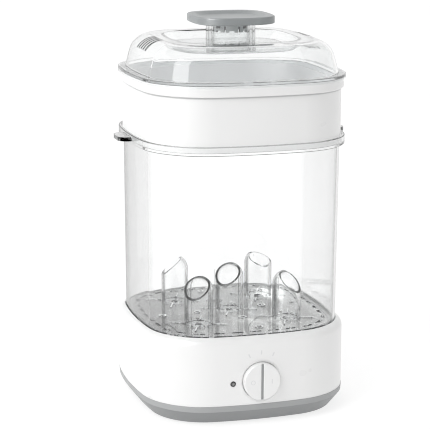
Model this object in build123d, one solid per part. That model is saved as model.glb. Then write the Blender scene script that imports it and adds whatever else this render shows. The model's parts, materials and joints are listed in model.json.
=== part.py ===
# Electric steam steriliser and dryer for baby bottles: a square, round-cornered stack.
# From the bottom up: grey bottom cover on rubber feet, white base housing with a front
# selector knob and lamp, steel water basin with a heater under it, clear bottle rack with
# five hooded hollow posts, clear chamber with two side lugs, white upper ring, slotted
# accessory basket, clear domed lid with a grey handle disc on a clear stem.
# Millimetres, +Z up, front is -Y, origin on the standing surface under the centre.
from build123d import *
import math
import os

os.makedirs("parts", exist_ok=True)

# ---- driving dimensions -------------------------------------------------------------
S_BASE = 104.7        # half width of the white housing
S_STRIP = 105.0       # half width of the grey cover at its top edge
S_FOOT = 94.0         # half width of the grey cover at its underside
Z_UNDER = 1.5         # underside of the grey cover
Z_BEND = 14.7         # where the grey cover's taper turns vertical
Z_WHITE = 20.4        # seam between grey cover and white housing
Z_SHOULDER = 87.5     # top of the white housing
R_SHOULDER = 8.0
T_HOUSING = 2.7
S_COLLAR = 98.5       # opening in the top of the housing
Z_LEDGE = 80.5        # ledge that carries gasket, basin, rack and chamber
S_LEDGE = 94.5
Z_GASKET = 81.3
Z_BASIN_FLANGE = 82.3
Z_RACK_FLANGE = 84.1
Z_DECK = 87.5         # top of the rack's deck
T_DECK = 2.0
POST_PITCH = 45.0     # posts stand at the corners of a square and at its centre
POST_R = 14.1
POST_T = 1.9
POST_Z = 121.5        # centre of a post's round top
POST_CUT = 128.0      # height of the slanting cut on a post's axis
S_CH_LOW, S_CH_TOP = 97.7, 99.2   # chamber half widths, low and high
T_CH = 2.1
Z_RIM0, Z_RIM1 = 263.0, 271.8     # chamber rim
S_RIM = 104.0
Z_SEAT = 265.5        # where the upper ring stands in the rim
LUG_OUT, LUG_HALF = 116.0, 16.0
S_RING = 99.9
T_RING = 2.5
Z_COLLAR = 317.6      # step under the ring's collar
Z_RING_TOP = 327.0
S_RING_COLLAR = 102.3
Z_BASKET_TOP = 328.2
S_LID = 104.2
Z_LID_FLANGE = 331.4
S_DOME, S_CROWN = 97.4, 88.8      # half widths of the leaning wall, low and at the crown
Z_DOME = 362.6
R_DOME = 21.0
X_DOME = 72.8         # centre of the dome's shoulder round, from the axis
T_LID = 2.2
S_DISH_TOP, S_DISH_LOW, Z_DISH = 61.3, 54.0, 354.8   # dished top of the lid
STEM_R, STEM_RI = 24.2, 22.2
BOSS_R, BOSS_RI = 19.4, 17.6
Z_DISC0, Z_DISC1 = 376.7, 384.0
S_DISC = 39.8
KNOB_R, KNOB_Z, Y_KNOB = 18.2, 43.4, -109.2
WELL_R, Y_WELL = 18.65, -100.4     # round well the knob sits in
LAMP_X, LAMP_Z = -27.9, 42.1
GLAND_X, GLAND_Z, GLAND_Y = 30.0, 34.0, 109.2
CORD_BORE_R = 3.6
SUPPLY_HOLES = [(22, -76), (58, -76), (22, -26), (58, -26)]

SIDE_R, CORNER_R = 3.81, 0.60     # plan radii as shares of the half width


# ---- plan shape: eight tangent arcs ---------------------------------------------------
def _plan(s, r_side, r_corner, z):
    c1 = s - r_side
    d = r_side - r_corner
    k = (c1 + math.sqrt(2 * d * d - c1 * c1)) / 2
    tx, ty = c1 + r_side * (k - c1) / d, r_side * k / d
    m = k + r_corner / math.sqrt(2)
    q = [(tx, -ty), (s, 0), (tx, ty), (m, m), (ty, tx), (0, s), (-ty, tx), (-m, m),
         (-tx, ty), (-s, 0), (-tx, -ty), (-m, -m), (-ty, -tx), (0, -s), (ty, -tx), (m, -m)]
    q = [(x, y, z) for x, y in q]
    edges = [Edge.make_three_point_arc(q[i], q[i + 1], q[(i + 2) % 16]) for i in range(0, 16, 2)]
    return Face(Wire(edges))


def plan(s, z=0.0):
    """One of a family of parallel outlines, set by its half width."""
    o = s - 100.0
    return _plan(s, 100 * SIDE_R + o, 100 * CORNER_R + o, z)


def mini(s, z=0.0):
    """The same outline scaled down, for small parts."""
    return _plan(s, s * SIDE_R, s * CORNER_R, z)


def prism(s, z0, z1, f=plan):
    return Solid.extrude(f(s, z0), Vector(0, 0, z1 - z0))


def taper(s0, z0, s1, z1, f=plan):
    return Solid.make_loft([f(s0, z0).outer_wire(), f(s1, z1).outer_wire()], True)


def ring(s_out, s_in, z0, z1, f=plan):
    return prism(s_out, z0, z1, f) - prism(s_in, z0 - 1, z1 + 1, f)


def cyl(r, z0, z1, x=0.0, y=0.0):
    return Pos(x, y, z0) * Solid.make_cylinder(r, z1 - z0)


def cyl_y(r, y0, y1, x=0.0, z=0.0):
    """Cylinder along Y from y0 to y1 (y0 < y1)."""
    return Pos(x, y0, z) * Rot(-90, 0, 0) * Solid.make_cylinder(r, y1 - y0)


def box(x0, x1, y0, y1, z0, z1):
    return Pos(x0, y0, z0) * Solid.make_box(x1 - x0, y1 - y0, z1 - z0)


def edges_at(shape, z, tol=0.05):
    return [e for e in shape.edges() if abs(e.bounding_box().min.Z - z) < tol and abs(e.bounding_box().max.Z - z) < tol]


def solids_of(shape):
    got = shape.solids() if hasattr(shape, "solids") else [s for x in shape for s in x.solids()]
    return list(got)


def save(name, *shapes):
    got = [s for sh in shapes for s in solids_of(sh)]
    out = got[0] if len(got) == 1 else Compound(got)
    export_step(out, f"parts/{name}.step")
    print(name, len(got), round(sum(s.volume for s in got)))


# ---- base housing -------------------------------------------------------------------
def make_housing():
    b = prism(S_BASE, Z_WHITE, Z_SHOULDER)
    b = b.fillet(R_SHOULDER, edges_at(b, Z_SHOULDER))
    s_in = S_BASE - T_HOUSING
    b = b - prism(s_in, Z_WHITE - 1, 76.5)
    b = b - prism(S_LEDGE, 76, Z_LEDGE + 1)
    b = b - prism(S_COLLAR, Z_LEDGE, Z_SHOULDER + 2)
    # corner screw posts, each tied to its corner by a web
    for sx in (-1, 1):
        for sy in (-1, 1):
            web = Pos(sx * 76, sy * 76, 37) * Rot(0, 0, 45 * sx * sy) * Solid.make_box(16, 2.6, 26, Plane((-8, -1.3, -13)))
            web = web & prism(s_in + 0.3, 20, 60)
            post = cyl(4.5, 24, 50, sx * 70, sy * 70)
            b = b + web + post
            b = b - cyl(1.35, 20, 40, sx * 70, sy * 70)
    # two pillars that take the heater bracket
    for sx in (-1, 1):
        b = b + (cyl(4.4, 40, 77.5, sx * 96.8, 0) + box(96.8 if sx > 0 else -s_in - 0.3, s_in + 0.3 if sx > 0 else -96.8, -4.4, 4.4, 40, 77.5))
        b = b - cyl(1.35, 39, 54, sx * 96.8, 0)
    # round well for the knob, with a dished edge
    b = b + cyl_y(WELL_R + 2.2, -103.2, Y_WELL + 1.8, 0, KNOB_Z)
    b = b - cyl_y(WELL_R, -108, Y_WELL, 0, KNOB_Z)
    b = b - Pos(0, -106.4, KNOB_Z) * Rot(-90, 0, 0) * Solid.make_cone(WELL_R + 5.4, WELL_R, 3.0)
    # holes: selector shaft, lamp, cord gland, filter door
    b = b - cyl_y(5.2, -108, -98, 0, KNOB_Z)
    b = b - cyl_y(2.8, -108, -98, LAMP_X, LAMP_Z)
    b = b - box(GLAND_X - 6.3, GLAND_X + 6.3, 96, 108, Z_WHITE - 1, GLAND_Z + 6.3)     # slot open to the seam
    b = b - box(-60.5, -13.5, 90, 108, 29.5, 60.5)
    return b


def make_cover():
    outer = taper(S_FOOT, Z_UNDER, S_STRIP - 0.5, Z_BEND) + taper(S_STRIP - 0.5, Z_BEND, S_STRIP, Z_WHITE)
    inner = taper(S_FOOT - 2.6, Z_UNDER + 2.5, S_STRIP - 3.2, Z_BEND) + prism(S_STRIP - 3.2, Z_BEND, Z_WHITE + 1)
    b = outer - inner
    lip = ring(101.7, 99.9, Z_BEND - 2.5, Z_WHITE + 3)
    lip = lip - box(-13, 13, -106, -94, 21.4, 24)      # clear of the knob's well
    lip = lip - box(GLAND_X - 9.6, GLAND_X + 9.6, 94, 106, Z_WHITE, 24)      # clear of the gland's foot
    b = b + lip
    for sx in (-1, 1):
        for sy in (-1, 1):
            # screw sleeve under each corner post
            b = b + cyl(6.0, Z_UNDER + 1, 23.9, sx * 70, sy * 70)
            b = b - cyl(1.9, 0, 30, sx * 70, sy * 70)
            b = b - cyl(4.2, 0, 6.5, sx * 70, sy * 70)
            # foot pocket and peg hole
            b = b - cyl(7.2, 0, Z_UNDER + 1.0, sx * 76, sy * 50)
            b = b - cyl(2.5, 0, 8, sx * 76, sy * 50)
    # cooling slots under the supply board and the blower
    for i in range(7):
        b = b - Pos(50, -62 + 8 * i, 0) * Solid.make_box(34, 3, 8, Plane((-17, -1.5, 0)))
    for i in range(5):
        b = b - Pos(-50, -62 + 8 * i, 0) * Solid.make_box(34, 3, 8, Plane((-17, -1.5, 0)))
    # blower pegs
    for x, y in ((-42, 16), (-2, 16), (-22, 66), (30, 56), (52, 56)):
        b = b + cyl(3.0, Z_UNDER + 2, 6.0, x, y)
    # shouldered pegs that the supply board is staked on
    for x, y in SUPPLY_HOLES:
        b = b + cyl(3.0, Z_UNDER + 2, 9.0, x, y) + cyl(1.55, 8.9, 11.8, x, y)
    return b


def make_feet():
    out = []
    for sx in (-1, 1):
        for sy in (-1, 1):
            f = cyl(7.0, 0, Z_UNDER + 1.0)
            f = f.chamfer(0.6, None, edges_at(f, 0))
            f = f + cyl(2.4, Z_UNDER + 0.9, 6.0)
            out.append(Pos(sx * 76, sy * 50, 0) * f)
    return out


def screw(x, y, z_head, r_head, h_head, r_shank, z_top):
    h = cyl(r_head, z_head - h_head, z_head)
    h = h.chamfer(h_head * 0.35, None, edges_at(h, z_head - h_head))
    h = h - Pos(0, 0, z_head - h_head) * Solid.make_box(r_head * 1.1, 0.7, h_head * 0.5, Plane((-r_head * 0.55, -0.35, 0)))
    h = h - Pos(0, 0, z_head - h_head) * Solid.make_box(0.7, r_head * 1.1, h_head * 0.5, Plane((-0.35, -r_head * 0.55, 0)))
    return Pos(x, y, 0) * (h + cyl(r_shank, z_head - 0.1, z_top))


# ---- water basin, heater ------------------------------------------------------------
SPOUT_X, SPOUT_Y = 50.0, 66.0


def make_basin():
    outer = taper(85.0, 58.5, 91.0, Z_BASIN_FLANGE) + cyl(63.0, 55.5, 59.0)
    inner = taper(84.0, 59.5, 90.0, Z_BASIN_FLANGE) + prism(90.0, Z_BASIN_FLANGE, Z_BASIN_FLANGE + 1) + cyl(62.0, 56.5, 60.0)
    flange = prism(98.0, Z_GASKET, Z_BASIN_FLANGE)
    b = (outer + flange) - inner
    return b - cyl(8.0, 50, 65, SPOUT_X, SPOUT_Y)


def make_spout():
    b = cyl(7.8, 38.0, 76.0) + cyl(11.0, 59.5, 61.0)
    b = b - cyl(6.3, 37, 77)
    hood = cyl(10.0, 76.0, 78.0) + cyl(7.8, 75.5, 76.5)
    b = b + hood
    for a in (0, 60, 120):
        b = b - Pos(0, 0, 69) * Rot(0, 0, a) * Solid.make_box(30, 5, 5.5, Plane((-15, -2.5, 0)))
    return Pos(SPOUT_X, SPOUT_Y, 0) * b


def make_spout_nut():
    n = Solid.extrude(Face(Wire.make_polygon([(11.5 * math.cos(math.radians(60 * i)), 11.5 * math.sin(math.radians(60 * i)), 53.5) for i in range(6)])), Vector(0, 0, 5.0))
    return Pos(SPOUT_X, SPOUT_Y, 0) * (n - cyl(7.9, 50, 60))


def make_heater_casting(element):
    b = cyl(56, 49.5, 55.5) - cyl(40, 49, 56)
    arm = box(-41, 41, -7, 7, 49.5, 55.5) - cyl(14, 49, 56)
    b = b + arm
    b = b - element
    for sx in (-1, 1):
        b = b + cyl(2.0, 33.0, 50, sx * 30, 0)
    return b


Z_ELEMENT = 48.4


def make_element():
    # tubular element: three quarters of a ring, with two straight cold ends
    prof = Face(Wire.make_circle(3.4, Plane((48, 0, Z_ELEMENT), (1, 0, 0), (0, 1, 0))))
    t = Solid.revolve(prof, 300, Axis((0, 0, 0), (0, 0, 1)))
    t = Rot(0, 0, -60) * t
    ends = []
    for a in (-60, 240):
        x, y = 48 * math.cos(math.radians(a)), 48 * math.sin(math.radians(a))
        # cold end running on along the tangent, away from the ring
        dirx, diry = (math.sin(math.radians(a)), -math.cos(math.radians(a))) if a < 0 else (-math.sin(math.radians(a)), math.cos(math.radians(a)))
        p = Solid.make_cylinder(3.4, 11, Plane((x, y, Z_ELEMENT), z_dir=(dirx, diry, 0)))
        q = Solid.make_cylinder(1.4, 18, Plane((x, y, Z_ELEMENT), z_dir=(dirx, diry, 0)))
        ends += [p, q]
    out = t
    for e in ends:
        out = out + e
    return out


def make_bracket():
    b = box(-100.5, 100.5, -8, 8, 38.5, 40.0)
    b = b - cyl(2.2, 38, 41, -30, 0) - cyl(2.2, 38, 41, 30, 0)
    b = b - cyl(1.7, 38, 41, -96.8, 0) - cyl(1.7, 38, 41, 96.8, 0)
    b = b & prism(101.0, 30, 45)
    return b


def hex_nut(r, hole, z0, z1, x, y):
    n = Solid.extrude(Face(Wire.make_polygon([(r * math.cos(math.radians(60 * i)), r * math.sin(math.radians(60 * i)), z0) for i in range(6)])), Vector(0, 0, z1 - z0))
    return Pos(x, y, 0) * (n - cyl(hole, z0 - 1, z1 + 1))


# ---- blower, drying heater ------------------------------------------------------------
FAN_X, FAN_Y = -22.0, 36.0


def make_blower_case():
    outer = cyl(36, 6, 28, FAN_X, FAN_Y) + box(FAN_X, 20, 48, 72, 6, 28)
    inner = cyl(34, 8, 29, FAN_X, FAN_Y) + box(FAN_X, 21, 50, 70, 8, 29)
    b = outer - inner
    b = b + cyl(4.0, 7.5, 10.5, FAN_X, FAN_Y) - cyl(1.6, 7, 11, FAN_X, FAN_Y)
    return b


def make_blower_cover():
    b = cyl(36, 28, 30, FAN_X, FAN_Y) + box(FAN_X, 20, 48, 72, 28, 30)
    return b - cyl(21, 27, 31, FAN_X, FAN_Y)


def make_stator():
    b = cyl(10.8, 10.5, 20.5) - cyl(1.55, 10, 21)
    for i in range(6):
        b = b - Rot(0, 0, 60 * i) * (Pos(8.2, 0, 10) * Solid.make_box(4, 2.4, 12, Plane((-1, -1.2, 0))))
    return Pos(FAN_X, FAN_Y, 0) * b


def make_impeller():
    b = cyl(15, 12.5, 26) - cyl(12.6, 12, 24)
    b = b + (cyl(32, 12.5, 14.0) - cyl(14.5, 12, 15))
    blades = []
    for i in range(20):
        blades.append(Rot(0, 0, 18 * i) * (Pos(26.5, 0, 13.5) * Rot(0, 0, 24) * Solid.make_box(11, 1.0, 12.5, Plane((-5.5, -0.5, 0)))))
    b = b + (cyl(32, 25, 26) - cyl(29.5, 24, 27))
    for bl in blades:
        b = b + (bl & cyl(32, 10, 30))
    b = b - cyl(1.5, 10, 27)
    return Pos(FAN_X, FAN_Y, 0) * b


def make_duct():
    outer = box(20, 62.5, 48, 80, 6, 30)
    inner = box(19, 60.5, 50, 78, 8, 28)
    b = outer - inner
    b = b + (cyl(10.0, 29.5, 46, SPOUT_X, SPOUT_Y))
    b = b - cyl(8.0, 27, 47, SPOUT_X, SPOUT_Y)
    return b - box(19, 21, 50, 70, 8, 28)


def make_ptc():
    b = box(24, 38, 50, 78, 8, 28)
    for i in range(9):
        z = 10.4 + 1.8 * i
        b = b - box(23, 39, 52.5, 63, z, z + 0.9) - box(23, 39, 65, 75.5, z, z + 0.9)
    return b


# ---- controls, supply -----------------------------------------------------------------
def make_switch():
    b = box(-8, 8, -98.4, -94.0, KNOB_Z - 8, KNOB_Z + 8) + cyl_y(4.6, -101.4, -98.3, 0, KNOB_Z)
    return b - cyl_y(3.05, -105, -95.5, 0, KNOB_Z)


def make_shaft():
    b = cyl_y(3.0, -106.6, -96.0, 0, KNOB_Z)
    return b - box(-4, 4, -110, -102.4, KNOB_Z + 2.0, KNOB_Z + 4)


def make_knob():
    y0, y1 = Y_KNOB, -101.6
    b = cyl_y(KNOB_R, y0, y1, 0, KNOB_Z)
    face = [e for e in b.edges() if abs(e.center().Y - y0) < 0.01 and e.length > 100]
    b = b.fillet(1.2, face)
    b = b - (cyl_y(KNOB_R - 2.2, y0 + 2.4, y1 + 1, 0, KNOB_Z) - cyl_y(5.8, y0, y1 + 1, 0, KNOB_Z))
    b = b - (cyl_y(3.02, y0 + 2.4, y1 + 1, 0, KNOB_Z) - box(-4, 4, y0, -102.45, KNOB_Z + 2.02, KNOB_Z + 5))
    # groove for the pointer, right across the face, with bevelled lips
    b = b - box(-1.1, 1.1, y0 - 1, y0 + 1.2, KNOB_Z - 30, KNOB_Z + 30)
    for sx in (-1, 1):
        v = Solid.extrude(Face(Wire.make_polygon([(sx * 1.0, y0 - 0.1, KNOB_Z - 30), (sx * 1.9, y0 - 0.1, KNOB_Z - 30), (sx * 1.0, y0 + 0.7, KNOB_Z - 30)])), Vector(0, 0, 60))
        b = b - v
    return b


def make_pointer():
    return box(-1.1, 1.1, Y_KNOB + 0.5, Y_KNOB + 1.2, KNOB_Z - 17.5, KNOB_Z + 17.5)


def make_lens():
    b = cyl_y(2.75, -104.3, -99.6, LAMP_X, LAMP_Z)
    b = b.fillet(0.9, [e for e in b.edges() if abs(e.center().Y + 104.3) < 0.01 and e.length > 10])
    return b + cyl_y(4.0, -100.4, -99.6, LAMP_X, LAMP_Z)


def make_lamp():
    b = cyl_y(1.5, -99.5, -95.0, LAMP_X, LAMP_Z) + cyl_y(1.9, -95.4, -94.0, LAMP_X, LAMP_Z)
    return b


def make_control_board():
    b = box(-44, 44, -94.0, -92.4, 25, 66)
    for x in (-40, 40):
        for z in (29, 62):
            b = b - cyl_y(1.6, -95, -92, x, z)
    return b


def make_standoffs(housing_front):
    out = []
    for x in (-40, 40):
        for z in (29, 62):
            out.append(cyl_y(3.2, -103.0, -94.0, x, z) - cyl_y(1.2, -100, -93, x, z))
    return out


def make_supply_board():
    b = box(18, 62, -80, -22, 9.0, 10.6)
    for x, y in SUPPLY_HOLES:
        b = b - cyl(1.6, 8, 12, x, y)
    return b


def make_supply_parts():
    return [box(24, 42, -70, -52, 10.6, 27.6), box(46, 57, -71, -52, 10.6, 26.0), cyl(5.0, 10.6, 27.0, 52, -42),
            box(24, 42, -44, -34, 10.6, 21.0), cyl(3.2, 10.6, 20.0, 44, -28)]


def make_gland(housing):
    """Gland that slides down into the housing's slot and is held there by the bottom cover."""
    b = cyl_y(8.6, 101.5, 105.6, GLAND_X, GLAND_Z)
    cone = Pos(GLAND_X, 105.6, GLAND_Z) * Rot(-90, 0, 0) * Solid.make_cone(6.6, 5.0, GLAND_Y - 105.6)
    b = b + cone
    wall = prism(S_BASE, Z_WHITE, 60) & box(10, 50, 95, 110, Z_WHITE, 60)
    b = b - wall
    neck = box(GLAND_X - 6.2, GLAND_X + 6.2, 99.0, 105.0, Z_WHITE, GLAND_Z + 6.2) & prism(S_BASE, Z_WHITE - 1, 60)
    inner = box(GLAND_X - 9.0, GLAND_X + 9.0, 96.4, 105.0, Z_WHITE, GLAND_Z + 9.0) & prism(S_BASE - T_HOUSING - 0.05, Z_WHITE - 1, 60)
    b = b + neck + inner + cyl_y(6.1, 92.0, 97.0, GLAND_X, GLAND_Z)
    b = b - cyl_y(CORD_BORE_R, 90, GLAND_Y + 1, GLAND_X, GLAND_Z)
    return b


def make_filter_cover():
    shell = prism(106.3, 27.5, 62.5) - prism(S_BASE + 0.15, 26, 64)
    plate = shell & box(-63, -11, 90, 110, 27.5, 62.5)
    for i in range(9):
        x = -58.2 + 5.3 * i
        plate = plate - box(x, x + 2.6, 90, 110, 32.5, 57.5)
    tray = box(-60, -14, 92.0, 104.3, 30, 60) - box(-58.4, -15.6, 93.4, 110, 31.6, 58.4)
    for i in range(7):
        x = -56.5 + 6.1 * i
        tray = tray - box(x, x + 3.4, 91, 94, 33, 57)
    tray = tray & prism(S_BASE + 0.2, 20, 70)
    bridge = (box(-60, -14, 100, 106, 30, 60) - box(-58.4, -15.6, 99, 107, 31.6, 58.4)) & prism(105.5, 20, 70)
    return plate + tray + bridge


def make_filter():
    return box(-58.0, -16.0, 93.5, 99.0, 32.0, 58.0)


# ---- rack, chamber --------------------------------------------------------------------
K_CORNER = 37.8       # the corner arcs' centre, the same for the whole family of outlines
POSTS = [(-POST_PITCH, POST_PITCH, 135), (-POST_PITCH, -POST_PITCH, 225), (0.0, 0.0, 225),
         (POST_PITCH, POST_PITCH, 45), (POST_PITCH, -POST_PITCH, -45)]


def make_rack():
    deck = prism(94.8, Z_DECK - T_DECK, Z_DECK)
    skirt = ring(94.8, 92.8, Z_BASIN_FLANGE, Z_DECK)
    flange = ring(98.0, 92.8, Z_BASIN_FLANGE, Z_RACK_FLANGE)
    b = deck + skirt + flange
    # steam slots: a row of dashes that follows the outline, and a pair between the posts
    s_row = 85.5
    r_side, r_corner = 100 * SIDE_R + s_row - 100, 100 * CORNER_R + s_row - 100
    dash = Pos(0, 0, Z_DECK - 4) * Solid.make_box(3.4, 11.0, 8, Plane((-1.7, -5.5, 0)))
    for quarter in (0, 90, 180, 270):
        for step in (-36, -18, 0, 18, 36):
            t = math.degrees(step / r_side)
            b = b - Rot(0, 0, quarter) * (Pos(s_row - r_side, 0, 0) * Rot(0, 0, t) * Pos(r_side, 0, 0) * dash)
        for t in (22.0, 45.0, 68.0):
            b = b - Rot(0, 0, quarter) * (Pos(K_CORNER, K_CORNER, 0) * Rot(0, 0, t) * Pos(r_corner, 0, 0) * dash)
        # two drain holes with a low collar, between the posts and near the edge
        for r, y in ((35.0, 3.0), (72.0, 8.0)):
            b = b + Rot(0, 0, quarter) * cyl(4.2, Z_DECK - 0.5, Z_DECK + 0.9, r, y)
            b = b - Rot(0, 0, quarter) * cyl(2.8, Z_DECK - 4, Z_DECK + 2, r, y)
    # low ribs round each post that hold a bottle's mouth off the deck
    for x, y, a in POSTS:
        for k in range(4):
            rib = Pos(x, y, Z_DECK - 0.3) * Rot(0, 0, a + 22 + 90 * k) * Solid.make_box(15.0, 1.4, 1.3, Plane((POST_R - 1.0, -0.7, 0)))
            b = b + rib
    z0 = Z_DECK - T_DECK
    for x, y, a in POSTS:
        o = cyl(POST_R, z0, POST_Z) + (Pos(0, 0, POST_Z) * Solid.make_sphere(POST_R, angle1=-90, angle2=90, angle3=360))
        i = cyl(POST_R - POST_T, z0 - 1, POST_Z) + (Pos(0, 0, POST_Z) * Solid.make_sphere(POST_R - POST_T, angle1=-90, angle2=90, angle3=360))
        cutter = Pos(0, 0, POST_CUT) * Rot(0, 45, 0) * Solid.make_box(80, 80, 60, Plane((-40, -40, 0)))
        o = o - cutter
        # closed foot with a steam hole in its middle
        foot = cyl(POST_R - POST_T + 0.2, z0, z0 + 1.6) - cyl(3.5, z0 - 1, z0 + 3)
        place = Pos(x, y, 0) * Rot(0, 0, a)
        b = b - (place * cyl(POST_R - POST_T, z0 - 1, z0 + 5))
        b = b + (place * ((o - i) + foot))
    return b


def make_chamber():
    outer = taper(S_CH_LOW, Z_RACK_FLANGE, S_CH_TOP, Z_RIM0 + 0.5)
    inner = taper(S_CH_LOW - T_CH, Z_RACK_FLANGE, S_CH_TOP - T_CH, Z_SEAT + 2)
    rim = prism(S_RIM, Z_RIM0, Z_RIM1)
    rim = rim.fillet(0.9, edges_at(rim, Z_RIM1) + edges_at(rim, Z_RIM0))
    for sx in (-1, 1):
        lug = box(100, LUG_OUT, -LUG_HALF, LUG_HALF, 266.0, 270.0)
        v = [e for e in lug.edges() if abs(e.center().X - LUG_OUT) < 0.01 and abs(e.center().Z - 268.0) < 0.01 and e.length < 5]
        lug = lug.fillet(9.0, v)
        if sx < 0:
            lug = Rot(0, 0, 180) * lug
        rim = rim + lug
    b = outer + rim - inner
    b = b - prism(101.5, Z_SEAT, Z_RIM1 + 2)
    return b


# ---- upper ring, basket -----------------------------------------------------------------
def make_ring():
    wall = prism(S_RING, Z_SEAT, Z_RING_TOP)
    collar = prism(S_RING_COLLAR, Z_COLLAR, Z_RING_TOP)
    collar = collar.fillet(1.4, edges_at(collar, Z_COLLAR))
    b = wall + collar - prism(S_RING - T_RING, Z_SEAT - 1, Z_RING_TOP + 1)
    return b


def make_basket():
    z_floor, z_step = 276.0, 322.0
    outer = prism(95.7, z_floor, z_step) + prism(97.1, z_step, Z_BASKET_TOP)
    inner = prism(94.2, z_floor + 2.0, z_step + 1.4) + prism(95.6, z_step + 1.4, Z_BASKET_TOP + 1)
    flange = prism(101.9, Z_RING_TOP, Z_BASKET_TOP)
    b = (outer + flange) - inner
    for i in range(-5, 6):
        x = i * 15.0
        half = 78 if abs(x) < 40 else 62 if abs(x) < 70 else 44
        for y0, y1 in ((-half, -6), (6, half)):
            b = b - box(x - 2.5, x + 2.5, y0, y1, z_floor - 1, z_floor + 3)
    # two low partitions that stand nipples and dummies apart
    for y in (-32, 32):
        b = b + (box(-90, 90, y - 0.9, y + 0.9, z_floor + 0.5, z_floor + 16) & prism(94.6, 270, 300))
    return b


# ---- lid --------------------------------------------------------------------------------
def make_lid():
    lean = (S_DOME - S_CROWN) / (Z_DOME - Z_LID_FLANGE)
    zl = Z_BASKET_TOP
    outer = taper(S_DOME + lean * (Z_LID_FLANGE - zl), zl, S_CROWN, Z_DOME)
    outer = outer.fillet(R_DOME, edges_at(outer, Z_DOME))
    ti = T_LID * math.sqrt(1 + lean * lean)
    inner = taper(S_DOME + lean * (Z_LID_FLANGE - zl + 1) - ti, zl - 1, S_CROWN + lean * T_LID - ti, Z_DOME - T_LID)
    inner = inner.fillet(R_DOME - T_LID, edges_at(inner, Z_DOME - T_LID))
    dz = Z_DOME + 1 - Z_DISH
    slope = (S_DISH_TOP - S_DISH_LOW) / (Z_DOME - Z_DISH)
    dish = taper(S_DISH_LOW, Z_DISH, S_DISH_LOW + slope * dz, Z_DISH + dz, mini)
    dish = dish.fillet(5.0, edges_at(dish, Z_DISH))
    dish_o = taper(S_DISH_LOW + T_LID, Z_DISH - T_LID, S_DISH_LOW + T_LID + slope * (dz + T_LID), Z_DISH + dz, mini)
    dish_o = dish_o.fillet(7.0, edges_at(dish_o, Z_DISH - T_LID))
    outer = outer - dish
    outer = outer.fillet(3.0, edges_at(outer, Z_DOME))
    b = outer - (inner - dish_o)
    lip = ring(95.3, 93.6, 324.2, 331.5)
    flange = prism(S_LID, 326.4, Z_LID_FLANGE)
    flange = flange.fillet(1.0, edges_at(flange, Z_LID_FLANGE))
    flange = flange - prism(102.6, 326.0, Z_BASKET_TOP) - prism(94.5, 326, 340)
    b = b + flange + lip
    # stem: outer tube and inner boss
    b = b + (cyl(STEM_R, Z_DISH - 0.5, Z_DISC0) - cyl(STEM_RI, Z_DISH, Z_DISC0 + 1))
    b = b + (cyl(BOSS_R, Z_DISH - 0.5, Z_DISC0 - 0.5) - cyl(BOSS_RI, Z_DISH, Z_DISC0))
    # steam slots on both shoulders, five a side, running down the curve
    for sx in (-1, 1):
        for i in range(5):
            y = -14.4 + 7.2 * i
            cuts = []
            for ang, long in ((49.5, 11.0), (76.5, 11.0)):
                ca, sa = math.cos(math.radians(ang)), math.sin(math.radians(ang))
                px, pz = X_DOME + (R_DOME - 1.1) * ca, (Z_DOME - R_DOME) + (R_DOME - 1.1) * sa
                c = Solid.make_box(long, 2.6, 12, Plane((-long / 2, -1.3, -6)))
                cuts.append(Pos(px, y, pz) * Rot(0, 90 - ang, 0) * c)
            s = cuts[0] + cuts[1]
            if sx < 0:
                s = Rot(0, 0, 180) * s
            b = b - s
    return b


def make_disc():
    b = prism(S_DISC, Z_DISC0, Z_DISC1, mini)
    b = b.fillet(1.2, edges_at(b, Z_DISC1))
    b = b.fillet(0.8, edges_at(b, Z_DISC0))
    # finger dish in the top, with a sloping side
    dish = taper(27.0, Z_DISC1 - 2.6, 33.0 + 6.0 / 2.6, Z_DISC1 + 1.0, mini)
    dish = dish.fillet(1.6, edges_at(dish, Z_DISC1 - 2.6))
    b = b - dish
    b = b.fillet(0.7, [e for e in edges_at(b, Z_DISC1) if abs(e.center().X) < 37 and abs(e.center().Y) < 37])
    b = b - cyl(19.0, Z_DISC0 - 1, Z_DISC0 + 2.2)
    return b


def make_insert():
    """Plug that snaps into the boss, with a head in the disc's recess."""
    r = BOSS_RI - 0.3
    b = cyl(r, 367.8, Z_DISC0 + 1.0) - cyl(r - 2.2, 366, Z_DISC0 - 1.6)
    b = b + (cyl(18.8, Z_DISC0, Z_DISC0 + 2.2) - cyl(12.0, Z_DISC0 - 0.5, Z_DISC0 + 2.3)) - cyl(12.0, 366, Z_DISC0 + 2.3)
    for a in range(0, 360, 45):
        b = b - Rot(0, 0, a + 10) * box(12, 22, -0.9, 0.9, 366, 373.5)
        b = b - Rot(0, 0, a + 32) * box(12, 22, -2.4, 2.4, 366, 369.2)
    for a in (22, 112, 202, 292):
        b = b - Rot(0, 0, a + 10) * box(12, 22, -2.4, 2.4, 371.2, 373.8)
    return b


# ---- build ---------------------------------------------------------------------------------
housing = make_housing()
standoffs = make_standoffs(housing)
housing_all = housing
for s in standoffs:
    housing_all = housing_all + (s & prism(S_BASE - 1.0, 20, 80))
save("base_housing", housing_all)
save("bottom_cover", make_cover())
save("rubber_feet", *make_feet())
save("cover_screws", *[screw(sx * 70, sy * 70, 6.5, 3.4, 2.0, 1.3, 34.0) for sx in (-1, 1) for sy in (-1, 1)])
save("basin_gasket", ring(98.2, 94.7, Z_LEDGE, Z_GASKET))
save("water_basin", make_basin())
save("air_spout", make_spout())
save("spout_nut", make_spout_nut())
element = make_element()
save("heater_casting", make_heater_casting(element))
save("heating_element", element)
save("heater_bracket", make_bracket())
save("bracket_spacers", *[cyl(3.6, 40.0, 49.5, sx * 30, 0) - cyl(2.1, 39, 50, sx * 30, 0) for sx in (-1, 1)])
save("bracket_nuts", *[hex_nut(4.0, 2.05, 35.3, 38.5, sx * 30, 0) for sx in (-1, 1)])
save("bracket_screws", *[screw(sx * 96.8, 0, 38.5, 3.0, 1.8, 1.3, 50.0) for sx in (-1, 1)])
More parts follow.
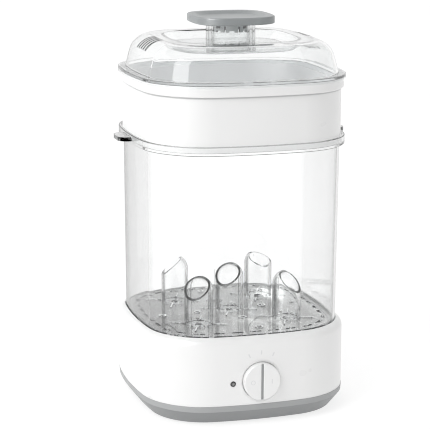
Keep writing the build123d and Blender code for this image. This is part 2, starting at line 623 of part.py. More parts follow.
save("thermostat", cyl(8.0, 47.5, 55.5, 0, 0) + box(-2.2, 2.2, -14, 14, 53.9, 55.5) + box(-5.5, -4.7, -3, 3, 41.0, 47.6) + box(4.7, 5.5, -3, 3, 41.0, 47.6))
save("thermal_fuse", Pos(0, 26, 51.2) * Rot(0, 90, 0) * Solid.make_cylinder(2.6, 14, Plane((0, 0, -7))), )
save("fuse_clip", box(-3, 3, 21.5, 30.5, 53.9, 55.5) + (box(-3, 3, 21.5, 22.9, 48.2, 54.2) + box(-3, 3, 29.1, 30.5, 48.2, 54.2)))
save("temperature_sensor", cyl(3.0, 45.0, 55.5, 0, -28) + cyl(1.2, 40.0, 45.2, 0, -28))
save("blower_case", make_blower_case())
save("blower_cover", make_blower_cover())
save("fan_stator", make_stator())
save("fan_impeller", make_impeller())
save("fan_shaft", cyl(1.5, 9.2, 26.0, FAN_X, FAN_Y))
save("heater_duct", make_duct())
save("drying_heater", make_ptc())
save("rotary_switch", make_switch())
save("switch_shaft", make_shaft())
save("selector_knob", make_knob())
save("knob_pointer", make_pointer())
save("indicator_lens", make_lens())
save("indicator_lamp", make_lamp())
save("control_board", make_control_board())
save("board_screws", *[Pos(x, -92.4, z) * Rot(-90, 0, 0) * (Solid.make_cylinder(2.4, 1.5)) + cyl_y(1.15, -98.5, -92.3, x, z) for x in (-40, 40) for z in (29, 62)])
save("supply_board", make_supply_board())
save("supply_parts", *make_supply_parts())
gland = make_gland(housing_all)
save("cord_gland", gland)
save("filter_door", make_filter_cover())
save("air_filter", make_filter())
save("bottle_rack", make_rack())
save("chamber", make_chamber())
save("upper_ring", make_ring())
save("accessory_basket", make_basket())
save("lid_shell", make_lid())
save("handle_disc", make_disc())
save("handle_insert", make_insert())
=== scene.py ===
import json
import math

import bmesh
import bpy
from mathutils import Matrix, Vector


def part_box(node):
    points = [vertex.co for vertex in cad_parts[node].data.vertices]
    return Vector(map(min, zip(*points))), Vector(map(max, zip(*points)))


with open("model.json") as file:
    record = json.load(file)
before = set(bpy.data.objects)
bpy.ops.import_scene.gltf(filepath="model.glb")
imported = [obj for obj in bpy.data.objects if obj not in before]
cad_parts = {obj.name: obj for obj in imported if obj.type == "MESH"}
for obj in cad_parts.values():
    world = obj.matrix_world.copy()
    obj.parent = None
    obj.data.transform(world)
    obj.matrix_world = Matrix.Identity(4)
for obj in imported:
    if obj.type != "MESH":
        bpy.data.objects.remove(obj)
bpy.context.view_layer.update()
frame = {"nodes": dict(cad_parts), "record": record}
N = frame["nodes"]


# ---------------------------------------------------------------- camera
def camera():
    """Camera at the photograph's viewing angle, for a 430 x 430 picture."""
    az, el = math.radians(-16.975), math.radians(12.409)
    back = Vector((math.sin(az) * math.cos(el), -math.cos(az) * math.cos(el), math.sin(el)))
    right = Vector((math.cos(az), math.sin(az), 0))
    up = back.cross(right)
    roll = 0.0039
    r2 = right * math.cos(roll) + up * math.sin(roll)
    u2 = -right * math.sin(roll) + up * math.cos(roll)
    pos = Vector((-0.51681, -1.64355, 0.56285))
    cam = bpy.data.cameras.new("camera")
    cam.sensor_width = 36.0
    cam.sensor_fit = "HORIZONTAL"
    cam.lens = 1770.47 * 36.0 / 430.0
    cam.clip_end = 50
    ob = bpy.data.objects.new("camera", cam)
    bpy.context.scene.collection.objects.link(ob)
    m = Matrix((
        (r2.x, u2.x, back.x, pos.x),
        (r2.y, u2.y, back.y, pos.y),
        (r2.z, u2.z, back.z, pos.z),
        (0, 0, 0, 1)))
    ob.matrix_world = m
    bpy.context.scene.camera = ob


camera()


# ---------------------------------------------------------------- node helpers
class Mat:
    """A Principled material with short helpers for procedural detail."""

    def __init__(self, name):
        self.m = bpy.data.materials.new(name)
        self.m.use_nodes = True
        self.nt = self.m.node_tree
        self.nt.nodes.clear()
        self.out = self.nt.nodes.new("ShaderNodeOutputMaterial")
        self.p = self.nt.nodes.new("ShaderNodeBsdfPrincipled")
        self.nt.links.new(self.p.outputs["BSDF"], self.out.inputs["Surface"])
        self._coord = None

    def set(self, **kw):
        for k, v in kw.items():
            self.p.inputs[k.replace("_", " ")].default_value = v
        return self

    def link(self, a, b):
        self.nt.links.new(a, b)

    def coord(self, scale=(1, 1, 1)):
        if self._coord is None:
            self._coord = self.nt.nodes.new("ShaderNodeTexCoord")
        mp = self.nt.nodes.new("ShaderNodeMapping")
        mp.inputs["Scale"].default_value = scale
        self.link(self._coord.outputs["Object"], mp.inputs["Vector"])
        return mp.outputs["Vector"]

    def noise(self, scale, detail=3.0, rough=0.5, stretch=(1, 1, 1), dist=0.0):
        n = self.nt.nodes.new("ShaderNodeTexNoise")
        n.inputs["Scale"].default_value = scale
        n.inputs["Detail"].default_value = detail
        n.inputs["Roughness"].default_value = rough
        n.inputs["Distortion"].default_value = dist
        self.link(self.coord(stretch), n.inputs["Vector"])
        return n.outputs["Fac"]

    def voronoi(self, scale, stretch=(1, 1, 1), feature="F1"):
        n = self.nt.nodes.new("ShaderNodeTexVoronoi")
        n.feature = feature
        n.inputs["Scale"].default_value = scale
        self.link(self.coord(stretch), n.inputs["Vector"])
        return n.outputs["Distance"]

    def ramp(self, fac, stops):
        r = self.nt.nodes.new("ShaderNodeValToRGB")
        el = r.color_ramp.elements
        while len(el) < len(stops):
            el.new(0.5)
        for e, (pos, col) in zip(el, stops):
            e.position = pos
            e.color = (*col, 1) if len(col) == 3 else col
        self.link(fac, r.inputs["Fac"])
        return r.outputs["Color"]

    def maprange(self, fac, lo, hi, a=0.0, b=1.0):
        r = self.nt.nodes.new("ShaderNodeMapRange")
        r.inputs["From Min"].default_value = a
        r.inputs["From Max"].default_value = b
        r.inputs["To Min"].default_value = lo
        r.inputs["To Max"].default_value = hi
        self.link(fac, r.inputs["Value"])
        return r.outputs["Result"]

    def math(self, op, a, b):
        r = self.nt.nodes.new("ShaderNodeMath")
        r.operation = op
        for i, v in enumerate((a, b)):
            if isinstance(v, (int, float)):
                r.inputs[i].default_value = v
            else:
                self.link(v, r.inputs[i])
        return r.outputs["Value"]

    def mix(self, fac, a, b):
        r = self.nt.nodes.new("ShaderNodeMix")
        r.data_type = "RGBA"
        self.link(fac, r.inputs["Factor"])
        for i, v in ((6, a), (7, b)):
            if isinstance(v, tuple):
                r.inputs[i].default_value = v
            else:
                self.link(v, r.inputs[i])
        return r.outputs[2]

    def bump(self, height, strength, distance):
        """Adds a bump on top of any bump already there."""
        b = self.nt.nodes.new("ShaderNodeBump")
        b.inputs["Strength"].default_value = strength
        b.inputs["Distance"].default_value = distance
        self.link(height, b.inputs["Height"])
        src = self.p.inputs["Normal"].links
        if src:
            self.link(src[0].from_socket, b.inputs["Normal"])
        self.link(b.outputs["Normal"], self.p.inputs["Normal"])
        return self

    def round_edges(self, radius):
        b = self.nt.nodes.new("ShaderNodeBevel")
        b.samples = 4
        b.inputs["Radius"].default_value = radius
        self.link(b.outputs["Normal"], self.p.inputs["Normal"])
        return self


def grey(v):
    return (v, v, v)


def plastic(name, col, rough, grain, grain_scale=1800, var=0.012, spec=0.5, edge=0.00035, coat=0.0):
    """Moulded plastic: faint cloudy tone, uneven gloss, fine grain and a softened edge."""
    m = Mat(name)
    m.set(Specular_IOR_Level=spec, IOR=1.5)
    if coat:
        m.set(Coat_Weight=coat, Coat_Roughness=0.08)
    if edge:
        m.round_edges(edge)
    lo = tuple(max(0, c - var) for c in col)
    hi = tuple(min(1, c + var) for c in col)
    m.link(m.ramp(m.noise(14, 2, 0.5), [(0.0, lo), (1.0, hi)]), m.p.inputs["Base Color"])
    m.link(m.maprange(m.noise(30, 2, 0.5), rough * 0.8, rough * 1.2), m.p.inputs["Roughness"])
    m.bump(m.noise(grain_scale, 2, 0.6), grain, 0.00003)
    return m.m


# Ramps by slant (Layer Weight facing) for the clear plastics' tint and gloss: painted shade that darkens them towards
# their edges. SLANT_LEFT is darker, for the chamber's left-facing walls. SLANT_POST is darkest, for the rack's posts
# and the lid's stem. SLANT_DECK and SLANT_LID are lighter, for the deck and the lid.
SLANT = [(0.42, 1.0), (0.56, 0.86), (0.64, 0.76), (0.70, 0.70), (0.76, 0.62), (0.82, 0.48), (0.90, 0.26), (1.0, 0.14)]
SLANT_LEFT = [(0.42, 1.0), (0.54, 0.86), (0.62, 0.72), (0.67, 0.66), (0.72, 0.58), (0.76, 0.50), (0.81, 0.44), (0.86, 0.14), (1.0, 0.05)]
SLANT_POST = [(0.30, 1.0), (0.48, 0.90), (0.62, 0.60), (0.76, 0.28), (0.88, 0.12), (1.0, 0.06)]
SLANT_DECK = [(0.45, 1.0), (0.60, 0.93), (0.78, 0.76), (0.90, 0.60), (1.0, 0.45)]
SLANT_LID = [(0.55, 1.0), (0.70, 0.94), (0.82, 0.78), (0.92, 0.52), (1.0, 0.32)]


def clear(name, tint, rough, ior=1.49, wave=0.04, slant=SLANT, dark=None, part=None, painted_glints=None, solid=None, fade=None):
    """Clear polished plastic with faint flow waves, a trace of haze, and a painted shade that darkens its tint and
    gloss at a slant.

    dark gives masks and tones of painted shade, on edges, slot walls and the like. part gives a mask for faces with a
    ramp of their own. A mask of painted highlights whitens edges that catch the light and lets less light through them,
    and a mask of opaque edges lets none through, under their painted black shade.
    fade weakens the gloss where the ramp is dark.
    Light for what is inside goes straight through.
    """
    m = Mat(name)
    m.set(IOR=ior, Transmission_Weight=1.0)
    lw = m.nt.nodes.new("ShaderNodeLayerWeight")
    lw.inputs["Blend"].default_value = 0.5
    facing = m.math("ADD", lw.outputs["Facing"], m.math("MULTIPLY", m.noise(18, 3), 0.02))
    col = m.ramp(facing, [(f, tuple(c * k for c in tint)) for f, k in slant])
    if part:
        col = m.mix(part[0](m), col, m.ramp(facing, [(f, tuple(c * k for c in tint)) for f, k in part[1]]))
    for mask, tone in dark(m) if dark else ():
        col = m.mix(mask, col, (*tone, 1))
    # Painted highlights: glinting edges are mixed towards white and pass less light.
    if painted_glints:
        mask = painted_glints(m)
        col = m.mix(mask, col, (0.95, 0.955, 0.96, 1))
        m.link(m.math("SUBTRACT", 1.0, m.math("MULTIPLY", mask, 0.8)), m.p.inputs["Transmission Weight"])
    # Edges under painted black shade are made opaque.
    if solid:
        m.link(m.math("SUBTRACT", 1.0, solid(m)), m.p.inputs["Transmission Weight"])
    m.link(col, m.p.inputs["Base Color"])
    if fade:
        g = m.nt.nodes.new("ShaderNodeGamma")
        g.inputs["Gamma"].default_value = fade
        m.link(col, g.inputs["Color"])
        col = g.outputs["Color"]
    m.link(col, m.p.inputs["Specular Tint"])
    m.link(m.maprange(m.noise(60, 4, 0.6), rough * 0.5, rough * 1.6, 0.3, 0.7), m.p.inputs["Roughness"])
    m.bump(m.noise(26, 2, 0.4), wave, 0.0006)
    path = m.nt.nodes.new("ShaderNodeLightPath")
    lets = m.nt.nodes.new("ShaderNodeBsdfTransparent")
    lets.inputs["Color"].default_value = (0.96, 0.965, 0.965, 1)
    both = m.nt.nodes.new("ShaderNodeMixShader")
    m.link(m.math("MAXIMUM", path.outputs["Is Shadow Ray"], path.outputs["Is Diffuse Ray"]), both.inputs["Fac"])
    m.link(m.p.outputs["BSDF"], both.inputs[1])
    m.link(lets.outputs["BSDF"], both.inputs[2])
    m.link(both.outputs["Shader"], m.out.inputs["Surface"])
    return m.m


def normal_of(m):
    g = m.nt.nodes.new("ShaderNodeNewGeometry")
    sep = m.nt.nodes.new("ShaderNodeSeparateXYZ")
    m.link(g.outputs["True Normal"], sep.inputs["Vector"])
    return {"X": sep.outputs["X"], "Y": sep.outputs["Y"], "Z": sep.outputs["Z"], "back": g.outputs["Backfacing"]}


def place_of(m):
    sep = m.nt.nodes.new("ShaderNodeSeparateXYZ")
    m.link(m.coord((1, 1, 1)), sep.inputs["Vector"])
    return sep.outputs


def near(m, v, value, tol):
    """1 where v is within tol of value."""
    return m.math("LESS_THAN", m.math("ABSOLUTE", m.math("SUBTRACT", v, value), 0.0), tol)


def level_faces(m):
    return m.math("GREATER_THAN", m.math("ABSOLUTE", normal_of(m)["Z"], 0.0), 0.9)


def stem(m):
    """The tube that carries the disc."""
    p = place_of(m)
    r = m.math("SQRT", m.math("ADD", m.math("MULTIPLY", p["X"], p["X"]), m.math("MULTIPLY", p["Y"], p["Y"])), 0.0)
    return m.math("MULTIPLY", m.math("LESS_THAN", r, 0.0245), m.math("GREATER_THAN", p["Z"], 0.355))


def post_rims(m):
    """The slanting cut faces of the posts."""
    n = normal_of(m)
    flat = m.math("MULTIPLY", near(m, m.math("ABSOLUTE", n["X"], 0.0), 0.5, 0.03), near(m, m.math("ABSOLUTE", n["Y"], 0.0), 0.5, 0.03))
    return m.math("MULTIPLY", flat, near(m, n["Z"], 0.7071, 0.03))


def leftness(m):
    """How far a face turns towards -X and a little to the back."""
    n = normal_of(m)
    return m.math("ADD", m.math("MULTIPLY", n["X"], -0.956), m.math("MULTIPLY", n["Y"], 0.292))


# Mask of the faces turned to the left, where the chamber's wall gets the painted shade of SLANT_LEFT.
def left_wall(m):
    return m.maprange(leftness(m), 0.0, 1.0, 0.3, 0.7)


def left_side(m, least, above):
    """The outer left side of the posts, painted dark as shade, with a wavy edge. The posts stand 45 mm apart,
    crosswise.
    """
    p = place_of(m)
    dx, dy = [m.math("SUBTRACT", p[k], m.math("MULTIPLY", m.math("ROUND", m.math("DIVIDE", p[k], 0.045), 0.0), 0.045)) for k in "XY"]
    dz = m.math("MAXIMUM", m.math("SUBTRACT", p["Z"], 0.1215), 0.0)
    r = m.math("ADD", m.math("MULTIPLY", dx, dx), m.math("MULTIPLY", dy, dy))
    r = m.math("SQRT", m.math("ADD", r, m.math("MULTIPLY", dz, dz)), 0.0)
    outer = between(m, r, 0.0133, 0.0145)
    side = m.math("ADD", leftness(m), m.math("MULTIPLY", m.noise(60, 2), 0.04))
    slant = m.nt.nodes.new("ShaderNodeLayerWeight")
    slant.inputs["Blend"].default_value = 0.5
    outer = m.math("MULTIPLY", outer, m.maprange(slant.outputs["Facing"], 0.0, 1.0, 0.14, 0.32))
    mask = m.math("MULTIPLY", m.maprange(side, 0.0, 1.0, least, least + 0.08), m.math("GREATER_THAN", p["Z"], above))
    return m.math("MULTIPLY", mask, outer)


def deck_left(m):
    """Painted shade: the deck darkens softly towards -X."""
    shade = m.maprange(m.math("ADD", place_of(m)["X"], m.math("MULTIPLY", m.noise(30, 2), 0.01)), 0.6, 0.0, -0.085, -0.035)
    return m.math("MULTIPLY", shade, level_faces(m))


def upright(m):
    return m.math("LESS_THAN", m.math("ABSOLUTE", normal_of(m)["Z"], 0.0), 0.4)


def between(m, v, lo, hi):
    return m.math("MULTIPLY", m.math("GREATER_THAN", v, lo), m.math("LESS_THAN", v, hi))


def rack_edges(m):
    """Painted shade on the posts' left sides, the deck's left part, the post rims and the walls of the slots and holes,
    and broken dark glints, a painted reflection, low on posts and ribs.
    """
    z = place_of(m)["Z"]
    specks = m.noise(260, 2, 0.6)
    walls = m.math("MULTIPLY", upright(m), between(m, z, 0.0850, 0.0870))
    walls = m.math("MULTIPLY", walls, m.math("GREATER_THAN", specks, 0.42))
    low = m.math("MULTIPLY", upright(m), between(m, z, 0.0876, 0.0902))
    low = m.math("MULTIPLY", low, m.math("GREATER_THAN", specks, 0.60))
    return [(left_side(m, 0.68, 0.0885), (0.28, 0.285, 0.285)), (deck_left(m), (0.22, 0.225, 0.225)), (post_rims(m), (0.30, 0.31, 0.31)), (walls, (0.06, 0.062, 0.063)), (low, (0.16, 0.16, 0.16))]


def rack_glints(m):
    """Painted highlights on rib tops and collars, and on the lit side of the glints."""
    z = place_of(m)["Z"]
    top = m.math("MULTIPLY", level_faces(m), between(m, z, 0.0882, 0.0887))
    plate = m.math("MULTIPLY", m.math("MULTIPLY", level_faces(m), between(m, z, 0.0869, 0.0873)), 0.35)
    top = m.math("MAXIMUM", top, plate)
    side = m.math("MULTIPLY", m.math("MULTIPLY", upright(m), between(m, z, 0.0852, 0.0902)), m.math("LESS_THAN", m.noise(260, 2, 0.6), 0.40))
    return m.math("MAXIMUM", top, side)


def chamber_edges(m):
    """Painted shade on the foot of the chamber's wall, in thin lines along the bends of its rim, and on the thick ends
    and underside of its lugs.
    """
    n, p = normal_of(m), place_of(m)
    foot = m.math("MULTIPLY", m.math("LESS_THAN", p["Z"], 0.0850), m.math("GREATER_THAN", m.math("ABSOLUTE", n["Z"], 0.0), 0.8))
    lug = m.math("MULTIPLY", m.math("GREATER_THAN", m.math("ABSOLUTE", p["X"], 0.0), 0.1046), m.math("LESS_THAN", m.math("ABSOLUTE", p["Y"], 0.0), 0.0162))
    lug = m.math("MULTIPLY", lug, between(m, p["Z"], 0.2655, 0.2705))
    ends = m.math("MULTIPLY", lug, upright(m))
    under = m.math("MULTIPLY", lug, m.math("LESS_THAN", n["Z"], -0.5))
    slope = m.math("ABSOLUTE", n["Z"], 0.0)
    bent = between(m, slope, 0.2, 0.97)
    low = m.math("MULTIPLY", bent, between(m, p["Z"], 0.2629, 0.2640))
    high = m.math("MULTIPLY", bent, between(m, p["Z"], 0.2708, 0.2719))
    return [(low, (0.14, 0.145, 0.145)), (high, (0.34, 0.345, 0.345)), (foot, (0.10, 0.10, 0.10)), (ends, (0.16, 0.165, 0.165)), (under, (0.03, 0.03, 0.03))]


def vent_mask(m):
    """One wall of each steam slot on the lid's shoulders, near the outer face."""
    n, p = normal_of(m), place_of(m)
    side = m.math("MULTIPLY", m.math("LESS_THAN", n["Y"], -0.97), m.math("LESS_THAN", n["back"], 0.5))
    dx = m.math("SUBTRACT", m.math("ABSOLUTE", p["X"], 0.0), 0.0728)
    dz = m.math("SUBTRACT", p["Z"], 0.3416)
    r = m.math("SQRT", m.math("ADD", m.math("MULTIPLY", dx, dx), m.math("MULTIPLY", dz, dz)), 0.0)
    outer = m.math("MULTIPLY", m.math("GREATER_THAN", r, 0.0202), m.math("GREATER_THAN", dx, -0.004))
    inner = m.math("LESS_THAN", m.math("ABSOLUTE", p["Y"], 0.0), 0.020)
    return m.math("MULTIPLY", m.math("MULTIPLY", side, outer), inner)


# Painted shade: one wall of each steam slot is painted black.
def vent_walls(m):
    return [(vent_mask(m), (0.01, 0.01, 0.01))]


def metal(name, col, rough, brush=(1, 1, 1), scale=900, strength=0.15, blotch=0.05):
    m = Mat(name)
    m.set(Metallic=1.0)
    lo = tuple(max(0, c - blotch) for c in col)
    hi = tuple(min(1, c + blotch) for c in col)
    m.link(m.ramp(m.noise(30, 5, 0.6), [(0.3, lo), (0.7, hi)]), m.p.inputs["Base Color"])
    m.link(m.maprange(m.noise(scale, 3, 0.6, brush), rough * 0.7, rough * 1.4, 0.3, 0.7), m.p.inputs["Roughness"])
    m.bump(m.noise(scale, 3, 0.6, brush), strength, 0.00003)
    return m.m


def rubber(name, col):
    m = Mat(name)
    m.set(Specular_IOR_Level=0.35)
    m.link(m.ramp(m.noise(120, 4), [(0.3, tuple(c * 0.92 for c in col)), (0.7, col)]), m.p.inputs["Base Color"])
    m.link(m.maprange(m.noise(300, 3), 0.55, 0.75, 0.3, 0.7), m.p.inputs["Roughness"])
    m.bump(m.noise(2200, 2), 0.25, 0.00005)
    return m.m


# ---------------------------------------------------------------- materials
def cover_grey():
    """Bottom cover: grey, with painted light and shade, lighter on the upright band above the bend and darker on the
    taper below it, which faces down.
    """
    m = Mat("cover_grey")
    m.set(Specular_IOR_Level=0.5, IOR=1.5)
    m.round_edges(0.0004)
    z = m.math("ADD", place_of(m)["Z"], m.math("MULTIPLY", m.noise(40, 2), 0.0001))
    # Painted light and shade: lighter above the bend, darker on the taper below.
    band = m.maprange(z, 0.0, 1.0, 0.0146, 0.0149)
    tone = m.math("ADD", band, m.math("MULTIPLY", m.noise(14, 4), 0.06))
    m.link(m.ramp(tone, [(0.0, (0.236, 0.242, 0.245)), (1.0, (0.36, 0.367, 0.37))]), m.p.inputs["Base Color"])
    m.link(m.maprange(m.noise(45, 5, 0.6), 0.38, 0.52, 0.3, 0.7), m.p.inputs["Roughness"])
    m.bump(m.noise(1500, 2, 0.6), 0.2, 0.00006)
    return m.m


def lamp_lens():
    """Smoked lens: near black rim, with a painted highlight that makes it paler in the middle."""
    m = Mat("lamp_lens")
    m.set(Specular_IOR_Level=0.5, IOR=1.5, Coat_Weight=0.6, Coat_Roughness=0.04)
    p = place_of(m)
    dx, dz = m.math("SUBTRACT", p["X"], LAMP[0]), m.math("SUBTRACT", p["Z"], LAMP[1])
    r = m.math("SQRT", m.math("ADD", m.math("MULTIPLY", dx, dx), m.math("MULTIPLY", dz, dz)), 0.0)
    r = m.math("ADD", r, m.math("MULTIPLY", m.noise(900, 2), 0.0002))
    # Paler middle: painted highlight.
    m.link(m.ramp(m.maprange(r, 0.0, 1.0, 0.0, 0.003), [(0.0, (0.30, 0.30, 0.29)), (0.42, (0.16, 0.16, 0.16)), (0.62, (0.025, 0.025, 0.027)), (1.0, (0.02, 0.02, 0.022))]), m.p.inputs["Base Color"])
    m.link(m.maprange(m.noise(300, 3), 0.10, 0.18, 0.3, 0.7), m.p.inputs["Roughness"])
    return m.m


def basin_steel():
    """Drawn steel floor: soft streaks run from front to back, with cloudy patches of scale, and painted shade towards
    -X and towards its rim.
    """
    m = Mat("basin_steel")
    m.set(Metallic=1.0)
    streaks = m.noise(30, 3, 0.55, (1, 0.16, 1))
    clouds = m.noise(14, 4, 0.6)
    tone = m.math("ADD", m.math("MULTIPLY", streaks, 0.65), m.math("MULTIPLY", clouds, 0.35))
    p = place_of(m)
    # Painted shade: the floor darkens towards -X.
    tone = m.math("ADD", tone, m.maprange(p["X"], -0.13, 0.05, -0.075, 0.06))
    # Painted shade: the floor darkens towards its rim, by the walls.
    rim = m.math("MAXIMUM", m.math("ABSOLUTE", p["X"], 0.0), m.math("ABSOLUTE", p["Y"], 0.0))
    tone = m.math("SUBTRACT", tone, m.maprange(rim, 0.0, 0.05, 0.07, 0.095))
    m.link(m.ramp(tone, [(0.28, (0.16, 0.16, 0.16)), (0.38, (0.23, 0.23, 0.23)), (0.50, (0.36, 0.36, 0.356)), (0.62, (0.60, 0.60, 0.595))]), m.p.inputs["Base Color"])
    m.link(m.maprange(m.noise(900, 3, 0.6, (1, 0.2, 1)), 0.30, 0.46, 0.3, 0.7), m.p.inputs["Roughness"])
    m.bump(m.noise(900, 3, 0.6), 0.15, 0.00003)
    return m.m


def white_with_marks(name, marks, mark=(0.72, 0.725, 0.73, 1)):
    """The white plastic, with faint grey marks."""
    m = Mat(name)
    m.set(Specular_IOR_Level=0.5, IOR=1.5)
    m.round_edges(0.00035)
    tone = m.ramp(m.noise(14, 2, 0.5), [(0.0, (0.840, 0.840, 0.837)), (1.0, (0.860, 0.860, 0.857))])
    m.link(m.mix(marks(m), tone, mark), m.p.inputs["Base Color"])
    m.link(m.maprange(m.noise(30, 2, 0.5), 0.24, 0.36), m.p.inputs["Roughness"])
    m.bump(m.noise(1800, 2, 0.6), 0.10, 0.00003)
    return m.m


def knob_polar(m):
    """Distance from the knob's axis, and offsets across and up."""
    p = place_of(m)
    dx = m.math("SUBTRACT", p["X"], KNOB[0])
    dz = m.math("SUBTRACT", p["Z"], KNOB[1])
    return m.math("SQRT", m.math("ADD", m.math("MULTIPLY", dx, dx), m.math("MULTIPLY", dz, dz)), 0.0), dx, dz, p


def housing_white():
    """Three plain ticks over the knob."""
    def marks(m):
        r, dx, dz, p = knob_polar(m)
        a = m.math("ARCTAN2", dx, dz)
        tick = None
        for t in (-0.44, 0.0, 0.44):
            one = near(m, m.math("MULTIPLY", m.math("SUBTRACT", a, t), r), 0.0, 0.0006)
            tick = one if tick is None else m.math("MAXIMUM", tick, one)
        front = m.math("LESS_THAN", p["Y"], -0.100)
        return m.math("MULTIPLY", m.math("MULTIPLY", tick, between(m, r, 0.0262, 0.0302)), front)
    return white_with_marks("housing_white", marks)


def ring_white():
    """A line of shade in the step under the collar."""
    def marks(m):
        z = m.math("ADD", place_of(m)["Z"], m.math("MULTIPLY", m.noise(25, 2), 0.0002))
        return m.math("MULTIPLY", m.maprange(z, 0.0, 1.0, 0.3157, 0.3168), m.math("LESS_THAN", z, 0.3180))
    return white_with_marks("ring_white", marks, (0.56, 0.562, 0.565, 1))


def knob_white():
    """A small ring on the left half of the knob's face and a short bar on the right half."""
    def marks(m):
        r, dx, dz, p = knob_polar(m)
        ex = m.math("ADD", dx, 0.0095)
        q = m.math("SQRT", m.math("ADD", m.math("MULTIPLY", ex, ex), m.math("MULTIPLY", dz, dz)), 0.0)
        ring = between(m, q, 0.0017, 0.0023)
        bar = m.math("MULTIPLY", near(m, m.math("SUBTRACT", dx, 0.0095), 0.0, 0.0004), near(m, dz, 0.0, 0.0023))
        return m.math("MULTIPLY", m.math("MAXIMUM", ring, bar), m.math("LESS_THAN", p["Y"], KNOB[2]))
    return white_with_marks("knob_white", marks)


def plug_grey():
    """Plug under the disc: light grey plastic, with painted shade, nearly black, in its snap slots."""
    m = Mat("plug_grey")
    m.set(Specular_IOR_Level=0.5, IOR=1.5)
    m.round_edges(0.0002)
    n, p = normal_of(m), place_of(m)
    r = m.math("SQRT", m.math("ADD", m.math("MULTIPLY", p["X"], p["X"]), m.math("MULTIPLY", p["Y"], p["Y"])), 0.0)
    out = m.math("ADD", m.math("MULTIPLY", n["X"], p["X"]), m.math("MULTIPLY", n["Y"], p["Y"]))
    out = m.math("ABSOLUTE", m.math("DIVIDE", out, m.math("MAXIMUM", r, 0.001)), 0.0)
    # Painted shade in the snap slots and inside the plug.
    slot = m.math("MAXIMUM", m.math("LESS_THAN", out, 0.5), m.math("LESS_THAN", r, 0.0152))
    tone = m.ramp(m.noise(60, 4, 0.55), [(0.3, (0.50, 0.51, 0.515)), (0.7, (0.60, 0.61, 0.615))])
    m.link(m.mix(slot, tone, (0.03, 0.031, 0.032, 1)), m.p.inputs["Base Color"])
    m.link(m.maprange(m.noise(45, 5, 0.6), 0.25, 0.38, 0.3, 0.7), m.p.inputs["Roughness"])
    m.bump(m.noise(1500, 2, 0.6), 0.1, 0.00003)
    return m.m


KNOB_LO, KNOB_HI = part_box("selector_knob")
KNOB = (0.5 * (KNOB_LO[0] + KNOB_HI[0]), 0.5 * (KNOB_LO[2] + KNOB_HI[2]), KNOB_LO[1] + 0.001)
LAMP = [0.5 * (a + b) for a, b in zip(*[(c[0], c[2]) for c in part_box("indicator_lens")])]
M = {
    "white_plastic": plastic("white_plastic", (0.85, 0.85, 0.847), 0.30, 0.10, var=0.004),
    "grey_plastic": plastic("grey_plastic", (0.295, 0.302, 0.305), 0.46, 0.22, 1500, 0.01),
    "grey_disc": plastic("grey_disc", (0.29, 0.305, 0.31), 0.36, 0.12, 1500, 0.01),
    "grey_insert": plug_grey(),
    "basket_grey": plastic("basket_grey", (0.87, 0.875, 0.88), 0.44, 0.08, var=0.005),
    "clear_plastic": clear("clear_plastic", (0.988, 0.99, 0.99), 0.012, dark=chamber_edges, part=(left_wall, SLANT_LEFT), fade=2.0),
    "lid_clear": clear("lid_clear", (0.985, 0.99, 0.99), 0.012, slant=SLANT_LID, dark=vent_walls, part=(stem, SLANT_POST), solid=vent_mask),
    "rack_clear": clear("rack_clear", (0.995, 0.998, 0.998), 0.02, wave=0.10, slant=SLANT_POST, dark=rack_edges, part=(level_faces, SLANT_DECK), painted_glints=rack_glints),
    "cover_grey": cover_grey(),
    "lamp_lens": lamp_lens(),
    "steel_bright": metal("steel_bright", (0.50, 0.50, 0.495), 0.24),
    "basin_steel": basin_steel(),
    "spout_grey": plastic("spout_grey", (0.60, 0.605, 0.61), 0.35, 0.1),
    "housing_white": housing_white(),
    "knob_white": knob_white(),
    "ring_white": ring_white(),
    "steel_zinc": metal("steel_zinc", (0.55, 0.55, 0.53), 0.32),
    "cast_alloy": metal("cast_alloy", (0.55, 0.55, 0.56), 0.5, strength=0.5),
    "element_steel": metal("element_steel", (0.24, 0.23, 0.22), 0.42),
    "ivory_plastic": plastic("ivory_plastic", (0.72, 0.69, 0.60), 0.5, 0.2),
    "black_plastic": plastic("black_plastic", (0.02, 0.02, 0.021), 0.5, 0.3, var=0.003),
    "copper_windings": metal("copper_windings", (0.66, 0.30, 0.15), 0.4),
    "silicone": rubber("silicone", (0.50, 0.505, 0.51)),
    "lens_dark": plastic("lens_dark", (0.02, 0.02, 0.022), 0.12, 0.02, var=0.003),
    "lamp_clear": clear("lamp_clear", (0.9, 0.9, 0.85), 0.1),
    "board_green": plastic("board_green", (0.03, 0.13, 0.07), 0.4, 0.2, var=0.008),
    "filter_foam": rubber("filter_foam", (0.05, 0.052, 0.055)),
}

SLOT = {s["node"]: s["material_slot"] for s in frame["record"]["subparts"]}
SPECIAL = {"handle_disc": "grey_disc", "bottle_rack": "rack_clear", "lid_shell": "lid_clear",
           "bottom_cover": "cover_grey", "indicator_lens": "lamp_lens", "water_basin": "basin_steel",
           "air_spout": "spout_grey", "base_housing": "housing_white", "selector_knob": "knob_white", "upper_ring": "ring_white"}
for name, ob in N.items():
    mat = M[SPECIAL.get(name, SLOT[name])]
    ob.data.materials.clear()
    ob.data.materials.append(mat)


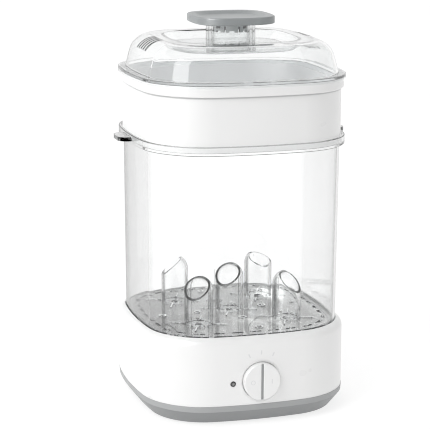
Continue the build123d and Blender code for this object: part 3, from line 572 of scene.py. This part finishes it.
# ---------------------------------------------------------------- stage
def floor():
    """Round paper sweep: flat under the object, rising in a wide curve all round."""
    me = bpy.data.meshes.new("floor")
    bm = bmesh.new()
    flat, r, top, n = 3.2, 1.6, 4.2, 96
    prof = [(0.02, 0.0), (1.0, 0.0), (2.0, 0.0)]
    prof += [(flat + r * math.sin(t), r - r * math.cos(t)) for t in [math.pi / 2 * i / 16 for i in range(17)]]
    prof += [(flat + r, top)]
    rows = []
    for i in range(n):
        a = 2 * math.pi * i / n
        rows.append([bm.verts.new((d * math.cos(a), d * math.sin(a), z - 0.0002)) for d, z in prof])
    for i in range(n):
        p, q = rows[i], rows[(i + 1) % n]
        for k in range(len(prof) - 1):
            f = bm.faces.new((p[k], p[k + 1], q[k + 1], q[k]))
            f.smooth = True
    bm.faces.new([row[0] for row in rows])
    bmesh.ops.recalc_face_normals(bm, faces=bm.faces)
    bm.to_mesh(me)
    bm.free()
    ob = bpy.data.objects.new("floor", me)
    bpy.context.scene.collection.objects.link(ob)
    m = Mat("floor_paper")
    m.link(m.ramp(m.noise(3, 2), [(0.3, grey(0.345)), (0.7, grey(0.355))]), m.p.inputs["Base Color"])
    m.set(Roughness=0.9, Specular_IOR_Level=0.1, Emission_Color=(1, 1, 1, 1))
    # lit through from behind, a little less towards the front right
    sep = m.nt.nodes.new("ShaderNodeSeparateXYZ")
    m.link(m.coord((1, 1, 1)), sep.inputs["Vector"])
    along = m.math("ADD", m.math("MULTIPLY", sep.outputs["X"], -0.5), m.math("MULTIPLY", sep.outputs["Y"], 0.87))
    m.link(m.maprange(along, 0.30, 0.74, -3.2, -0.6), m.p.inputs["Emission Strength"])
    me.materials.append(m.m)


floor()


def area(name, loc, target, size, power, col=(1, 1, 1)):
    li = bpy.data.lights.new(name, "AREA")
    li.shape = "RECTANGLE"
    li.size, li.size_y = size
    li.energy = power
    li.color = col
    ob = bpy.data.objects.new(name, li)
    bpy.context.scene.collection.objects.link(ob)
    ob.visible_camera = False
    d = Vector(target) - Vector(loc)
    ob.matrix_world = Matrix.Translation(Vector(loc)) @ d.to_track_quat("-Z", "Y").to_matrix().to_4x4()
    return ob


def softbox(name, loc, target, size, power, shading, gloss, n):
    """A soft-edged box: nested panels, each seen only by the shading or by the gloss."""
    for i in range(n):
        k = 1.0 - 0.8 * i / max(1, n - 1)
        ob = area(f"{name}_{i}", loc, target, (size[0] * k, size[1] * (0.7 + 0.3 * k)), power / n)
        ob.visible_diffuse = shading
        ob.visible_glossy = gloss
        ob.visible_transmission = gloss


softbox("key_left", (-1.67, -0.97, 2.0), (0, 0, 0.18), (1.4, 1.4), 27, True, False, 1)
softbox("strip_left", (-1.85, -0.85, 1.35), (0, 0, 0.22), (1.25, 1.4), 235, False, True, 12)

world = bpy.data.worlds.new("studio")
world.use_nodes = True
bg = world.node_tree.nodes["Background"]
bg.inputs["Color"].default_value = (1, 1, 1, 1)
bg.inputs["Strength"].default_value = 0.62
bpy.context.scene.world = world

sc = bpy.context.scene
sc.view_settings.view_transform = "Standard"
sc.view_settings.look = "None"
sc.view_settings.exposure = 0.0
sc.view_settings.gamma = 1.0
sc.cycles.use_denoising = True
sc.cycles.max_bounces = 16
sc.cycles.transmission_bounces = 16
sc.cycles.transparent_max_bounces = 16
sc.cycles.glossy_bounces = 8
sc.cycles.diffuse_bounces = 4
sc.cycles.caustics_reflective = False
sc.cycles.sample_clamp_indirect = 3.0
sc.cycles.seed = 7
sc.cycles.filter_width = 1.1
